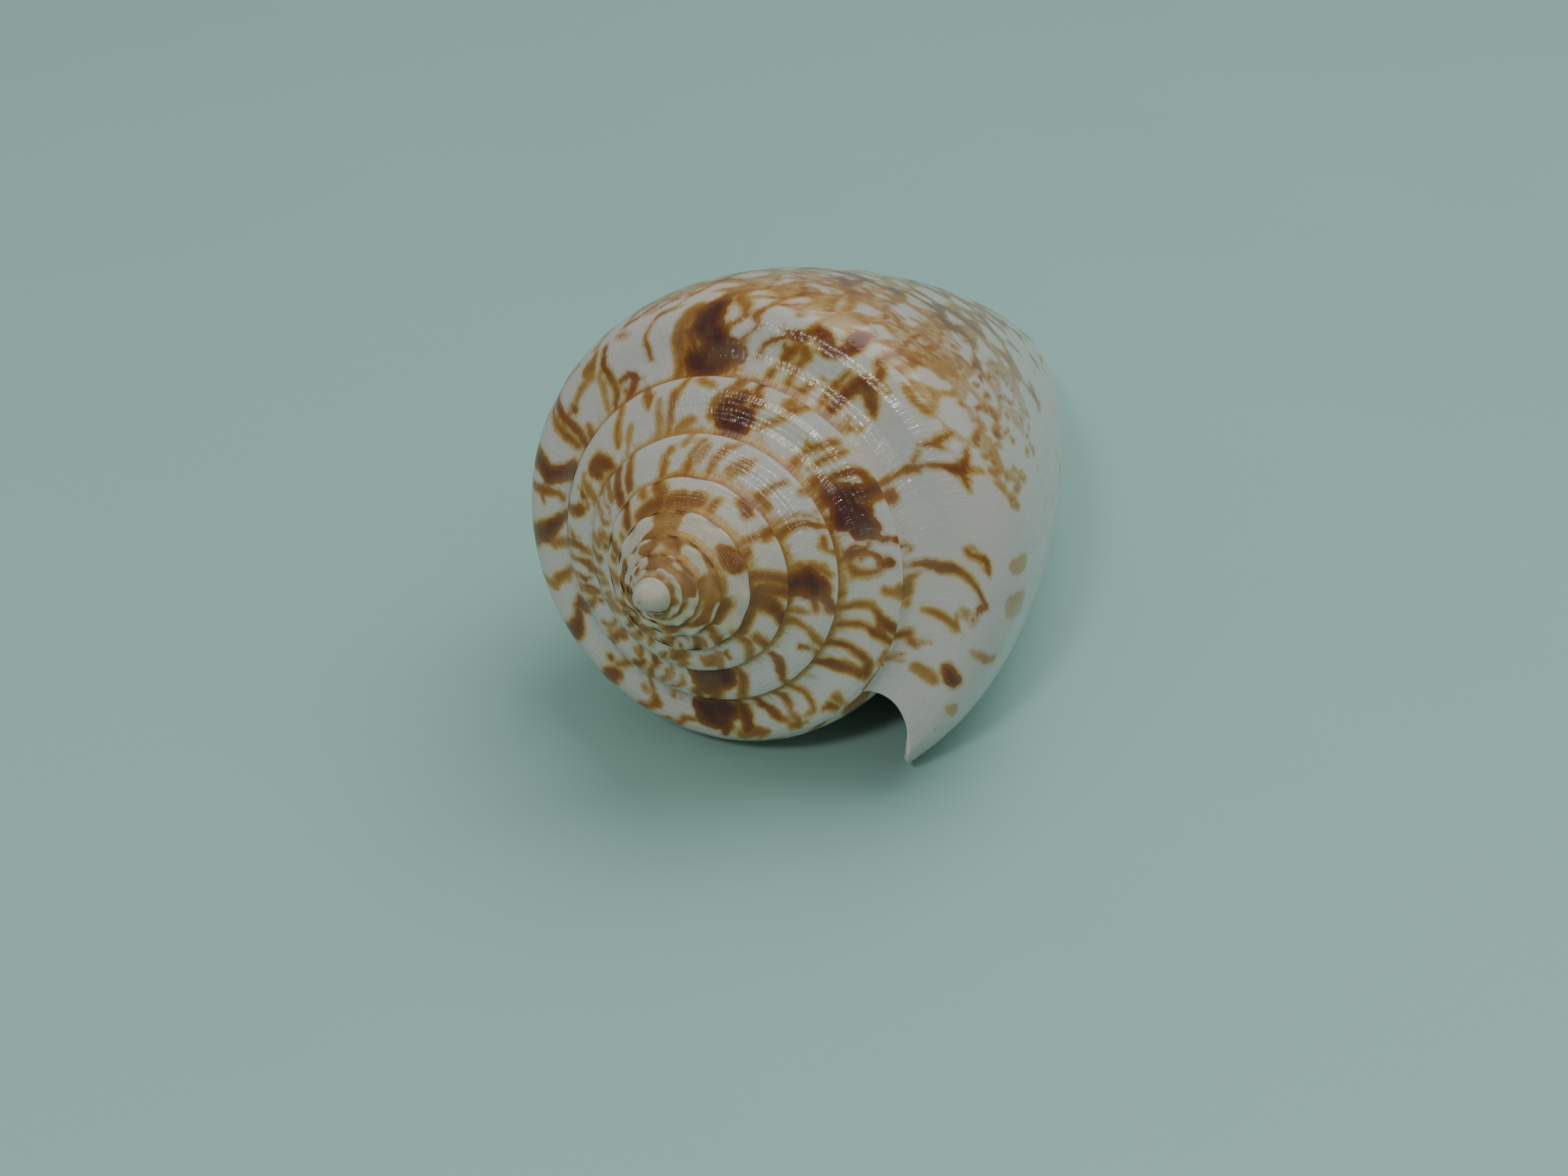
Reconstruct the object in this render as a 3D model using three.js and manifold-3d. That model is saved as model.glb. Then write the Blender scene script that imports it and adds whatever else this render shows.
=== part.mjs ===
import * as THREE from 'three';
import { mergeVertices } from 'three/addons/utils/BufferGeometryUtils.js';
import Module from 'manifold-3d';

const wasm = await Module();
wasm.setup();

// Driving dimensions, in millimetres
const SHOULDER_RADIUS = 14.83;
const SPIRE_HEIGHT = 11.8;
const BODY_LENGTH = 50.2;
const SUTURE_STEP = 0.33;
const LIP_THICKNESS = 0.65;
const WALL_THICKNESS = 1.25;
const CALLUS = 0.12;
const FLAT_DEPTH = 0.22;

// Coiling: turns of the spire, and how the radius and the height grow along them
const WHORLS = 9;
const GROWTH = 0.323;
const GROWTH_BEND = 0.001;
const SPIRE_STRAIGHT = 0.56;
const SPIRE_HOLLOW = 2.906;
const LIP_ANGLE_DEG = -36.85;

// Outline of the last whorl's side, as shares of the shoulder radius
const BELLY = 0.1;
const BELLY_REACH = 0.05;
const FRONT_RADIUS = 0.2;
const SIDE_POWER = 1.541;
const FRONT_SHRINK = 0.14;

// Course of the growth lines, in turns ahead of the shoulder
const RAMP_SINUS = 0.0062;
const LIP_BOW = 0.027;
const LIP_BOW_REACH = 0.035;
const LIP_SLANT = 0.055;
const RAMP_HOLLOW = 0.03;

// Hollow behind the lip
const CAVITY_DEPTH = 0.62;
const COLUMELLA_RADIUS = 0.13;
const COLUMELLA_TIP = 0.045;

// How the shell lies on the floor, in degrees
const REST_ROLL_DEG = 3.9;
const REST_PITCH_DEG = -10;

// Facets
const STEPS = 48;
const RAMP_COLUMNS = [0, 0.05, 0.35, 0.68, 0.9, 1];
const SIDE_ROWS = [0, 0.012, 0.032, 0.06, 0.1, 0.15, 0.21, 0.28, 0.35, 0.42, 0.49, 0.56, 0.63, 0.7, 0.77, 0.84,
  0.9, 0.95, 0.985, 1];
const CAVITY_ROWS = [0.018, 0.045, 0.08, 0.12, 0.18, 0.25, 0.33, 0.41, 0.49, 0.57, 0.65, 0.73, 0.81, 0.89, 0.95,
  1.06];
const CAVITY_STEPS = 26;

function radius(turn) {
  const back = WHORLS - turn;
  return SHOULDER_RADIUS * Math.exp(-(GROWTH * back + GROWTH_BEND * back * back));
}

function depth(turn) {
  const u = Math.min(radius(turn) / SHOULDER_RADIUS, 1);
  const hollow = 1 - (1 - u) ** SPIRE_HOLLOW;
  return SPIRE_HEIGHT * (SPIRE_STRAIGHT * u + (1 - SPIRE_STRAIGHT) * hollow);
}

function place(r, turn, y) {
  const angle = -2 * Math.PI * turn + THREE.MathUtils.degToRad(LIP_ANGLE_DEG);
  return new THREE.Vector3(r * Math.cos(angle), y, r * Math.sin(angle));
}

// The ramp on top of a turn, from the suture at v = 0 to the shoulder at v = 1
function rampPoint(turn, v) {
  const r0 = radius(turn - 1);
  const r1 = radius(turn);
  const y0 = depth(turn - 1);
  const y1 = depth(turn);
  const width = r1 - r0;
  let y = y0 + (y1 - y0) * v;
  if (v > 0 && v < 1) {
    y += SUTURE_STEP * (r1 / SHOULDER_RADIUS) * (1 - v) + RAMP_HOLLOW * width * Math.sin(2 * Math.PI * v);
  }
  return place(r0 + width * v, turn - RAMP_SINUS * 4 * v * (1 - v), y);
}

function sideLength(turn) {
  return BODY_LENGTH * Math.exp(-FRONT_SHRINK * (WHORLS - turn));
}

function sideShare(t) {
  const bulge = BELLY * (1 - Math.exp(-t / BELLY_REACH));
  return 1 + bulge - (1 + BELLY - FRONT_RADIUS) * Math.min(t, 1) ** SIDE_POWER;
}

function sideLag(t) {
  return LIP_BOW * (1 - Math.exp(-t / LIP_BOW_REACH)) - LIP_SLANT * t;
}

// The side of the last whorl, from the shoulder at t = 0 to the anterior end at t = 1
function sidePoint(turn, t) {
  return place(radius(turn) * sideShare(t), turn + sideLag(t), depth(turn) + t * sideLength(turn));
}

// A growing list of triangles, each given clockwise as seen from outside
class Skin {
  constructor() {
    this.corners = [];
  }

  triangle(a, b, c) {
    for (const corner of [a, c, b]) {
      this.corners.push(corner.x, corner.y, corner.z);
    }
  }

  quad(a, b, c, d) {
    this.triangle(a, b, c);
    this.triangle(a, c, d);
  }

  grid(rows) {
    for (let i = 0; i + 1 < rows.length; i += 1) {
      for (let j = 0; j + 1 < rows[i].length; j += 1) {
        this.quad(rows[i][j], rows[i][j + 1], rows[i + 1][j + 1], rows[i + 1][j]);
      }
    }
  }

  geometry() {
    const made = new THREE.BufferGeometry();
    made.setAttribute('position', new THREE.Float32BufferAttribute(this.corners, 3));
    return mergeVertices(made, 1e-4);
  }
}

// Spire ramps, last whorl side, lip wall, dome at the tip and the closed anterior end
function outerSkin() {
  const skin = new Skin();
  const ramps = [];
  for (let i = STEPS; i <= WHORLS * STEPS; i += 1) {
    ramps.push(RAMP_COLUMNS.map((v) => rampPoint(i / STEPS, v)));
  }
  skin.grid(ramps);

  const sides = [];
  for (let i = 0; i <= STEPS; i += 1) {
    sides.push(SIDE_ROWS.map((t) => sidePoint(WHORLS - 1 + i / STEPS, t)));
  }
  skin.grid(sides);

  const first = sides[0];
  const last = sides[STEPS];
  const wall = SIDE_ROWS.map((t, j) => RAMP_COLUMNS.map((v) => first[j].clone().lerp(last[j], v)));
  wall[0] = ramps[ramps.length - 1];
  skin.grid(wall);

  const foot = wall[wall.length - 1].slice(1, -1).reverse();
  const rim = sides.map((row) => row[row.length - 1]).concat(foot);
  const front = new THREE.Vector3();
  for (const corner of rim) {
    front.addScaledVector(corner, 1 / rim.length);
  }
  front.set(0, front.y + 0.6, 0);
  rim.forEach((corner, k) => skin.triangle(corner, front, rim[(k + 1) % rim.length]));

  const ring = ramps.slice(0, STEPS).map((row) => row[0]);
  const edge = ramps[0].slice(1).reverse();
  const base = edge.concat(ring);
  const tip = new THREE.Vector3(0, 0, 0);
  const domes = [0.45, 0.8].map((share) => base.map((corner) => {
    const rise = 1 - Math.sqrt(1 - 0.92 * share * share);
    return new THREE.Vector3(corner.x * share, corner.y * rise * 1.25, corner.z * share);
  }));
  base.forEach((corner, k) => {
    const next = (k + 1) % base.length;
    skin.triangle(tip, domes[0][k], domes[0][next]);
    skin.quad(domes[0][k], domes[1][k], domes[1][next], domes[0][next]);
    skin.quad(domes[1][k], corner, base[next], domes[1][next]);
  });
  return skin.geometry();
}

// Radius of the older whorl, or of the columella past its end, at a depth along the axis
function innerRadius(turn, y) {
  const older = turn - 1;
  const t = (y - depth(older)) / (BODY_LENGTH * Math.exp(-0.24 * (WHORLS - older)));
  const whorl = radius(older) * sideShare(Math.min(Math.max(t, 0), 1));
  const along = THREE.MathUtils.clamp((y - SPIRE_HEIGHT) / BODY_LENGTH, 0, 1);
  const columella = SHOULDER_RADIUS * THREE.MathUtils.lerp(COLUMELLA_RADIUS, COLUMELLA_TIP, along ** 4);
  return Math.max(t < 1 ? whorl : 0, columella);
}

// The hollow between the last whorl and the older one, open at the lip and at the anterior end
function cavitySkin() {
  const skin = new Skin();
  const outer = [];
  const inner = [];
  for (let i = 0; i <= CAVITY_STEPS; i += 1) {
    const turn = WHORLS - CAVITY_DEPTH + (CAVITY_DEPTH + 0.035) * (i / CAVITY_STEPS);
    const inside = THREE.MathUtils.smoothstep(WHORLS - turn, 0, 0.3);
    const thick = THREE.MathUtils.lerp(LIP_THICKNESS, WALL_THICKNESS, inside);
    outer.push(CAVITY_ROWS.map((t) => {
      const y = depth(turn) + t * sideLength(turn);
      return place(radius(turn) * sideShare(t) - thick, turn + sideLag(t), y);
    }));
    inner.push(CAVITY_ROWS.map((t) => {
      const y = depth(turn) + t * sideLength(turn);
      return place(innerRadius(turn, y) + CALLUS, turn + sideLag(t), y);
    }));
  }
  const rows = CAVITY_ROWS.length - 1;
  skin.grid(outer);
  skin.grid(inner.map((row) => row.slice().reverse()));
  skin.grid(outer.map((row, i) => [inner[i][0], row[0]]));
  skin.grid(outer.map((row, i) => [row[rows], inner[i][rows]]));
  skin.grid(inner[0].map((corner, j) => [outer[0][j], corner]));
  skin.grid(inner[CAVITY_STEPS].map((corner, j) => [outer[CAVITY_STEPS][j], corner]).reverse());
  return skin.geometry();
}

function solid(geometry) {
  const mesh = new wasm.Mesh({
    numProp: 3,
    vertProperties: new Float32Array(geometry.attributes.position.array),
    triVerts: new Uint32Array(geometry.index.array),
  });
  return new wasm.Manifold(mesh);
}

function skinOf(made) {
  const mesh = made.getMesh();
  const geometry = new THREE.BufferGeometry();
  geometry.setAttribute('position', new THREE.Float32BufferAttribute(mesh.vertProperties, 3));
  geometry.setIndex(Array.from(mesh.triVerts));
  geometry.computeVertexNormals();
  return geometry;
}

const lie = new THREE.Matrix4().makeRotationX(THREE.MathUtils.degToRad(REST_PITCH_DEG));
lie.multiply(new THREE.Matrix4().makeRotationY(THREE.MathUtils.degToRad(REST_ROLL_DEG)));

const outside = outerSkin().applyMatrix4(lie);
outside.computeBoundingBox();
const middle = outside.boundingBox.getCenter(new THREE.Vector3());
const shift = new THREE.Matrix4().makeTranslation(
  -middle.x,
  -middle.y,
  -outside.boundingBox.min.z - FLAT_DEPTH,
);
outside.applyMatrix4(shift);
const hollow = cavitySkin().applyMatrix4(lie).applyMatrix4(shift);

// Worn flat on which the shell rests
const floor = mergeVertices(new THREE.BoxGeometry(100, 140, 20).deleteAttribute('normal').deleteAttribute('uv'));
floor.translate(0, 0, -10);

const body = solid(outside).subtract(solid(hollow)).subtract(solid(floor));
const shell = new THREE.Mesh(
  skinOf(body),
  new THREE.MeshStandardMaterial({ color: 0xd9c2a0, roughness: 0.3, metalness: 0 }),
);
shell.name = 'shell';

const group = new THREE.Group();
group.name = 'cone_shell';
group.add(shell);

export default group;
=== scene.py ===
import math

import bpy
import numpy as np
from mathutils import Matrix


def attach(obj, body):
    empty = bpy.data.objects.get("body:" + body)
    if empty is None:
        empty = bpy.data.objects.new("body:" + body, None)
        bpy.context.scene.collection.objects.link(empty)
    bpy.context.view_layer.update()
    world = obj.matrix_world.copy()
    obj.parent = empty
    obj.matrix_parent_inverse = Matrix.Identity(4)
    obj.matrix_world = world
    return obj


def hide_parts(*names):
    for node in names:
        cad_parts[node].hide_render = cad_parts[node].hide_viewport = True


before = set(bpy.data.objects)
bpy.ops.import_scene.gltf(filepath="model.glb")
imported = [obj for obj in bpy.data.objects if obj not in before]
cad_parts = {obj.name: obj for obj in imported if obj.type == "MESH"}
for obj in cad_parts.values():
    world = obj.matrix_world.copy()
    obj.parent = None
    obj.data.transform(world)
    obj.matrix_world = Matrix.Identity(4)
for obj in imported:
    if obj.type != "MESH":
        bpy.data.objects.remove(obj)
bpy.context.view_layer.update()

# Shell form, in millimetres and turns, close to the solid's
SHOULDER_RADIUS = 14.83
SPIRE_HEIGHT = 11.8
BODY_LENGTH = 50.2
WHORLS = 9
GROWTH = 0.323
GROWTH_BEND = 0.001
SPIRE_STRAIGHT = 0.56
SPIRE_HOLLOW = 2.906
LIP_ANGLE = math.radians(-36.85)
BELLY = 0.1
BELLY_REACH = 0.05
FRONT_RADIUS = 0.2
SIDE_POWER = 1.541
FRONT_SHRINK = 0.14
OLDER_SHRINK = 0.24
RAMP_SINUS = 0.0062
LIP_BOW = 0.027
LIP_BOW_REACH = 0.035
LIP_SLANT = 0.055
RAMP_HOLLOW = 0.045
SUTURE_STEP = 0.33
SUTURE_FOOT = 0.07
SUTURE_STEP_LEAST = 0.95
LIP_THICKNESS = 0.65
WALL_THICKNESS = 1.25
ROOF_THICKNESS = 0.9
CALLUS = 0.12
CAVITY_DEPTH = 0.62
COLUMELLA_RADIUS = 0.13
COLUMELLA_TIP = 0.045
COLUMELLA_END = 58.7
COLUMELLA_ROUNDING = 0.9
COLUMELLA_POINT = 0.0004
PARIETAL_BLEND = 0.1
LIP_EDGE = 0.3
LIP_TAPER = 0.05

# How far the free edge of the lip stands back on the ramp, in turns at the suture
LIP_RETREAT = 0.018
LIP_RETREAT_POWER = 2.2

# Place of the spire's tip in the frame, and how the shell lies
TIP_PLACE = np.array([-1.12731, -30.39768, 14.39842])
REST_ROLL = math.radians(3.9)
REST_PITCH = math.radians(-10)

# Length of the side in the value that runs across a whorl, from 0 at the suture to 1 at the shoulder
SIDE_SPAN = 10

# Mesh rows along the last whorl and across it
LAST_START = WHORLS - 1.05
LAST_ROWS = 430
RAMP_COLUMNS = 25
SIDE_STEP_NEAR = 0.0042
SIDE_STEP_FAR = 0.0095
SIDE_STEP_REACH = 0.3
SHOULDER_PASSES = 14
SHOULDER_SPAN = 7
INNER_ROWS = 70
EDGE_STEPS = 6

# Fine relief: threads on a ramp, beads on a turn, and heights in millimetres
THREADS = 8
THREAD_HEIGHT = 0.006
GROWTH_HEIGHT = 0.025
BEADS = 13
BEAD_HEIGHT = 0.12
BEAD_FULL_RADIUS = 3.0
GROWTH_SEED = 21

# Unmarked shell: depth below the edge of a mark, in millimetres, and shade
BARE_INK = -0.8
BARE_SHADE = 0.3


# Form of the shell

def smoothstep(low, high, value):
    x = np.clip((value - low) / (high - low), 0, 1)
    return x * x * (3 - 2 * x)


def lerp(a, b, share):
    return a + (b - a) * share


def radius(turn):
    back = WHORLS - turn
    return SHOULDER_RADIUS * np.exp(-(GROWTH * back + GROWTH_BEND * back * back))


def depth(turn):
    u = np.minimum(radius(turn) / SHOULDER_RADIUS, 1)
    hollow = 1 - (1 - u) ** SPIRE_HOLLOW
    return SPIRE_HEIGHT * (SPIRE_STRAIGHT * u + (1 - SPIRE_STRAIGHT) * hollow)


def place(r, turn, y):
    angle = -2 * math.pi * turn + LIP_ANGLE
    r, angle, y = np.broadcast_arrays(r, angle, y)
    return np.stack([r * np.cos(angle), y, r * np.sin(angle)], axis=-1)


def ramp_width(turn):
    return np.hypot(radius(turn) - radius(turn - 1), depth(turn) - depth(turn - 1))


def ramp_points(turn, v, drop=0.0):
    r0, r1 = radius(turn - 1), radius(turn)
    y0, y1 = depth(turn - 1), depth(turn)
    size = np.maximum(r1 / SHOULDER_RADIUS, SUTURE_STEP_LEAST)
    step = SUTURE_STEP * size * (1 - v) * smoothstep(0, SUTURE_FOOT, v)
    y = lerp(y0, y1, v) + step + RAMP_HOLLOW * (r1 - r0) * np.sin(2 * math.pi * v)
    return place(lerp(r0, r1, v), turn - RAMP_SINUS * 4 * v * (1 - v), y + drop)


def side_length(turn):
    return BODY_LENGTH * np.exp(-FRONT_SHRINK * (WHORLS - turn))


def side_share(t):
    bulge = BELLY * (1 - np.exp(-t / BELLY_REACH))
    return 1 + bulge - (1 + BELLY - FRONT_RADIUS) * np.clip(t, 0, 1) ** SIDE_POWER


def side_lag(t):
    return LIP_BOW * (1 - np.exp(-t / LIP_BOW_REACH)) - LIP_SLANT * t


def columella(y):
    along = np.clip((y - SPIRE_HEIGHT) / BODY_LENGTH, 0, 1)
    return SHOULDER_RADIUS * lerp(COLUMELLA_RADIUS, COLUMELLA_TIP, along ** 4)


def columella_closing(y):
    """Share of the columella's radius left near its rounded end."""
    return np.sqrt(np.clip((COLUMELLA_END - y) / COLUMELLA_ROUNDING, COLUMELLA_POINT, 1))


def parietal(older, y):
    """Radius of the older whorl inside the aperture, or of the columella past its end."""
    t = (y - depth(older)) / (BODY_LENGTH * np.exp(-OLDER_SHRINK * (WHORLS - older)))
    whorl = radius(older) * side_share(np.clip(t, 0, 1)) * (1 - smoothstep(0.97, 1.08, t))
    return np.maximum(whorl, columella(y)) + CALLUS * smoothstep(0, 1, y - depth(older))


def thinned(thickness, turn):
    """Wall thickness drawn down to the thin edge of the lip."""
    return lerp(LIP_EDGE, thickness, smoothstep(0, LIP_TAPER, WHORLS - turn))


def wall(turn):
    return thinned(lerp(LIP_THICKNESS, WALL_THICKNESS, smoothstep(0, 0.3, WHORLS - turn)), turn)


def side_points(turn, t):
    y = depth(turn) + t * side_length(turn)
    r = radius(turn) * side_share(t)
    joined = smoothstep(0, PARIETAL_BLEND, turn - (WHORLS - 1))
    r = lerp(np.minimum(parietal(turn, y), r), r, joined)
    return place(r, turn + side_lag(t), y)


def inner_side_points(turn, t):
    y = depth(turn) + t * side_length(turn)
    r = radius(turn) * side_share(t) - wall(turn)
    return place(np.maximum(r, columella(y) + CALLUS), turn + side_lag(t), y)


# Smooth seeded unevenness

def wander(rows, cols, x, y, seed):
    """Smooth random values from -1 to 1 on a lattice, at x and y from 0 to 1."""
    knots = np.random.default_rng(seed).uniform(-1, 1, (rows + 2, cols + 2))
    fx = np.clip(x, 0, 1) * rows
    fy = np.clip(y, 0, 1) * cols
    i = np.minimum(fx.astype(int), rows)
    j = np.minimum(fy.astype(int), cols)
    a = smoothstep(0, 1, fx - i)
    b = smoothstep(0, 1, fy - j)
    low = lerp(knots[i, j], knots[i, j + 1], b)
    high = lerp(knots[i + 1, j], knots[i + 1, j + 1], b)
    return lerp(low, high, a)


# Markings, read along each whorl: a shade from 0, pale ochre, to 1, maroon, then points of degrees
# along the whorl, percent across it and width in millimetres. Zero percent is the suture and 100 the
# shoulder; past it, 100 percent more is a tenth of the side's length.

LAST_WHORL_MARKS = [
    (.35, [(2, 75, .6), (1.5, 88, .4)]),
    (.45, [(5.5, 78, .5), (4, 88, .5)]),
    (.4, [(10.2, 10, .3), (9.7, 30, .35), (9.7, 50, .3), (10.5, 62, .35), (11.5, 70, .3)]),
    (.5, [(17.5, 5, .3), (16.3, 18, .5), (16.8, 33, .4), (17.5, 45, .4), (18.7, 55, .3)]),
    (.5, [(18.5, 62, .6), (17.8, 72, .5), (18.5, 82, .7), (20.5, 80, .6), (21, 72, .3)]),
    (.55, [(26, 15, .5), (26.3, 25, .5), (25, 38, .5), (24.2, 50, .6), (23.5, 58, .5), (21.5, 64, .4)]),
    (.55, [(34.5, 15, .8), (35.3, 35, .9), (35.3, 60, .7), (36, 80, .8)]),
    (.3, [(30, 80, .6), (33, 76, .8), (37, 82, .9)]),
    (.95, [(41, 22, .9), (43.5, 30, 1.3), (46, 32, 1.6), (49, 34, 1.3), (50, 48, .9), (46, 50, 1.1)]),
    (.6, [(42, 48, .7), (43, 65, .8), (43.5, 82, .5)]),
    (.4, [(51, 55, .5), (54, 62, .4), (57.5, 66, .5), (58.2, 80, .4), (58.3, 90, .3)]),
    (.25, [(61, 10, .3), (62.5, 28, .25)]),
    (.3, [(62.5, 86, .5)]),
    (.4, [(72.2, 10, .25), (71.3, 28, .3), (69.5, 44, .35), (67.8, 60, .7), (69, 75, .5),
        (70.5, 86, .6)]),
    (.25, [(73.5, 44, .5)]),
    (.35, [(81.3, 14, .35), (83.5, 30, .4), (85.3, 44, .3)]),
    (.45, [(83.8, 60, .9), (85, 70, 1.0), (83.7, 84, 1.0)]),
    (.5, [(88.8, 42, .6)]),
    (.55, [(104.5, 8, .6), (106.5, 17, .9), (108.5, 26, 1.0), (108.5, 36, .7), (104.8, 48, .7),
        (102.5, 64, 1.1), (101.2, 80, 1.2), (98.5, 100, .5)]),
    (.35, [(120, 5, .4), (120.4, 25, .4), (119.3, 45, .5), (118.7, 58, .4)]),
    (.3, [(116.6, 66, .5), (117.2, 92, .3)]),
    (.35, [(130, 5, .4), (130.3, 30, .4), (130.8, 45, .3)]),
    (.7, [(139.8, 10, .4), (137.5, 30, .6), (135, 46, 1.0), (133.3, 60, 1.1), (131.6, 78, .9),
        (129, 92, .7), (127, 101, .4)]),
    (.45, [(145.2, 22, .5), (146.3, 34, .4), (146, 52, .5), (145.3, 70, .5), (143.5, 91, .4)]),
    (.75, [(155.5, 14, .9), (153.4, 30, .7), (151.8, 46, .7), (150.6, 58, .8), (151.7, 72, .9),
        (151.2, 88, .8), (149, 100, .5)]),
    (.4, [(164.3, 24, .4), (164.3, 50, .45), (164.6, 75, .5), (164.5, 95, .45)]),
    (.5, [(166.5, 6, .5), (167.8, 28, .6), (168.3, 52, .5), (167.6, 76, .6), (167.3, 95, .5)]),
    (.5, [(170.5, 10, .6), (172, 22, .3)]),
    (.6, [(172.3, 57, .6)]),
    (.3, [(174, 64, .2), (178, 69, .25), (181, 69, .45), (182.6, 70, .4)]),
    (.3, [(181, 80, .6), (183, 81, .7), (184.2, 91, .4)]),
    (.25, [(181, 14, .2), (183, 32, .25), (184.6, 48, .25), (184.6, 60, .2)]),
    (.6, [(183.5, 4, .3), (186, 17, .35), (187.7, 33, .42), (187.8, 52, .45), (187.4, 66, .42),
        (187.8, 78, .5), (188, 88, .45)]),
    (.5, [(189.5, 3, .4), (192, 10, .42), (194.5, 20, .5), (195, 28, .55), (193.3, 35, .4),
        (190, 33, .3)]),
    (.5, [(202.2, 39, .45), (202.4, 55, .25), (201.9, 70, .25), (203, 82, .25), (204.4, 96, .25),
        (208.5, 99, .2)]),
    (.35, [(192, 95, .2), (194, 91, .28), (196, 85, .2)]),
    (.35, [(209.5, 2, .5), (211, 17, .65), (211.6, 36, .7), (212.2, 55, .9), (213.6, 74, 1.2),
        (214.6, 88, .9)]),
    (1, [(216.4, 17, 1.0), (219.5, 18, 1.3), (222.5, 22, 1.4), (225.5, 28, 1.15), (228, 31, .8)]),
    (.5, [(217, 32, .6), (216, 47, .65), (215.3, 62, .8)]),
    (1, [(222, 30, .8), (222.2, 45, 1.1), (221.4, 58, 1.2), (219.5, 66, 1.3), (219.6, 78, 1.2),
        (219.8, 90, .8)]),
    (.55, [(223, 50, .6), (225.2, 63, .45)]),
    (.5, [(228.6, 5, .35), (228.4, 22, .45), (229, 39, .4), (231.8, 57, .3), (233.7, 70, .38),
        (231.6, 84, .38), (232, 100, .3), (231.5, 120, .3), (231.8, 136, .3), (229.5, 152, .35)]),
    (.45, [(228, 72, .25), (229.3, 81, .35), (227.5, 94, .4), (224, 104, .4), (221.5, 118, .4)]),
    (.45, [(235.7, 29, .3), (236.6, 45, .3), (239.2, 59, .35), (241.8, 67, .3)]),
    (.4, [(239, 2, .25), (240.5, 18, .25), (242.5, 28, .25), (244, 46, .65), (245.6, 60, .45)]),
    (.68, [(242, 72, .5), (245, 72, .6), (246, 82, .55)]),
    (.5, [(246, 3, .38), (246, 19, .35), (247.6, 34, .38), (248.7, 50, .5), (247, 60, .45)]),
    (.45, [(249.3, 3, .4), (251, 10, .4), (253, 22, .25)]),
    (.74, [(246.3, 87, .45), (249.6, 80, .5), (252.8, 71, .5), (255, 79, .5), (255.3, 90, .5),
        (253.4, 101, .6), (252, 111, .5)]),
    (.45, [(257.4, 5, .35), (258, 25, .38), (259, 45, .35), (259.6, 66, .3)]),
    (.7, [(260.6, 3, .4), (261.8, 24, .5), (262.8, 45, .6), (263.2, 62, .8), (266, 60, .75),
        (268.6, 51, .5), (271, 42, .2)]),
    (.55, [(265.3, 68, .7), (265.5, 76, .4), (263.5, 88, .35), (260.7, 98, .35), (259.3, 112, .4),
        (257.3, 126, .4), (255.7, 142, .45), (254.4, 164, .4), (254, 186, .4)]),
    (.4, [(263, 0, .3), (267, 4, .3), (269, 10, .25)]),
    (.15, [(244.5, 114, .9), (246.3, 125, 1.0), (244.6, 136, .8)]),
    (.3, [(242, 136, .3), (240.7, 150, .35), (238.6, 168, .4), (237.6, 186, .35)]),
    (.3, [(240, 100, .3), (237.5, 106, .3), (236.6, 126, .35), (234.3, 140, .3)]),
    (.2, [(262.4, 150, .9), (264.8, 152, .7), (262.2, 166, .9), (265, 176, .7), (263, 187, .8)]),
    (.35, [(269.5, 95, .3), (273, 92, .3), (276.4, 97, .28), (273.6, 107, .35), (270, 118, .35)]),
    (.55, [(283.6, 69, .2), (284, 82, .42), (283, 93, .42), (280.6, 107, .25)]),
    (.55, [(286.2, 0, .3), (287, 20, .36), (288.1, 45, .38), (289, 65, .34), (289.7, 78, .36),
        (290.4, 89, .75), (290, 99, .6), (287, 107, .4), (284, 115, .22)]),
    (.4, [(290.8, 93, .3), (292.3, 96, .25), (294.5, 97, .15)]),
    (.3, [(289.8, 104, .4), (288.5, 121, .25)]),
    (.6, [(290.4, 3, .8), (291.6, 5, .7)]),
    (.3, [(281.5, 131, .45), (279.2, 144, .5), (277.6, 162, .5)]),
    (.1, [(283.5, 160, .7), (286.5, 158, .8)]),
    (.2, [(290.4, 141, .4), (291.6, 153, .4)]),
    (.4, [(305.2, 0, .25), (306.2, 8, .15)]),
    (.6, [(311.5, 7, .25), (312.9, 24, .5), (314.2, 42, .72), (314.3, 57, .66), (314.9, 71, .36),
        (317, 85, .38), (319.3, 96, .4), (320.2, 101, .42), (322, 94, .25), (325.5, 87, .28)]),
    (.2, [(324.4, 77, .6)]),
    (.5, [(310.3, 80, .45), (310.2, 92, .36), (310, 101, .38), (312.4, 103, .25)]),
    (.6, [(318.3, -2, .9), (319.6, 2, .6)]),
    (.5, [(315.2, 0, .3), (316.2, 6, .2)]),
    (.35, [(325.8, 27, .22), (326.7, 44, .36), (328.1, 66, .55)]),
    (.6, [(332.8, 11, .7)]),
    (.5, [(334.6, 16, .5), (336.5, 27, .3)]),
    (.75, [(338.8, 76, .6), (339.8, 83, .8), (339.2, 89, .5)]),
    (.35, [(340.6, 0, .35), (340.9, 7, .3)]),
    (.3, [(342.3, 35, .55), (342.5, 50, .75), (343, 65, .6)]),
    (.3, [(331.5, 99, .3), (330.3, 112, .45), (328.6, 138, .5)]),
    (.15, [(346, 101, .25), (344, 113, .4)]),
    (.05, [(308, 150, .7), (308, 180, .8)]),
    (.05, [(316.5, 148, 1.2), (316.5, 182, 1.2)]),
    (.05, [(342, 420, 1.0), (343.5, 500, 1.6), (342.5, 560, .8)]),
]

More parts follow.
